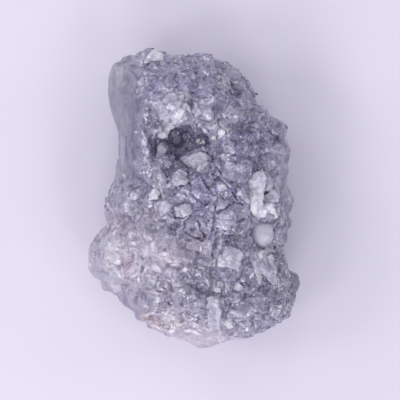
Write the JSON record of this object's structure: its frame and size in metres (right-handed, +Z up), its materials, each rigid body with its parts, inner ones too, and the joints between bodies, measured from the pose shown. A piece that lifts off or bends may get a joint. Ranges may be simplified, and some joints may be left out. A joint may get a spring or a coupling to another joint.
{
  "type": "rough diamond",
  "caption": "Rough lilac-grey crystal stone: a lumpy aggregate with clear grains, a pit near one end and a smooth flank, resting on a flat cleaved face.",
  "frame": {"origin": "on the table, under the middle of the stone's bounding box", "axes": "+Z up, +Y along the stone's length towards its narrow end with the pit, +X to the right as seen from above"},
  "size_m": [0.017, 0.024, 0.0116],
  "materials": {
    "stone": "glittering lilac-grey crystal skin",
    "clear_crystal": "frosted clear crystal",
    "flakes": "pearly flakes"
  },
  "bodies": {
    "root": {"stone": "stone"}
  },
  "joints": []
}
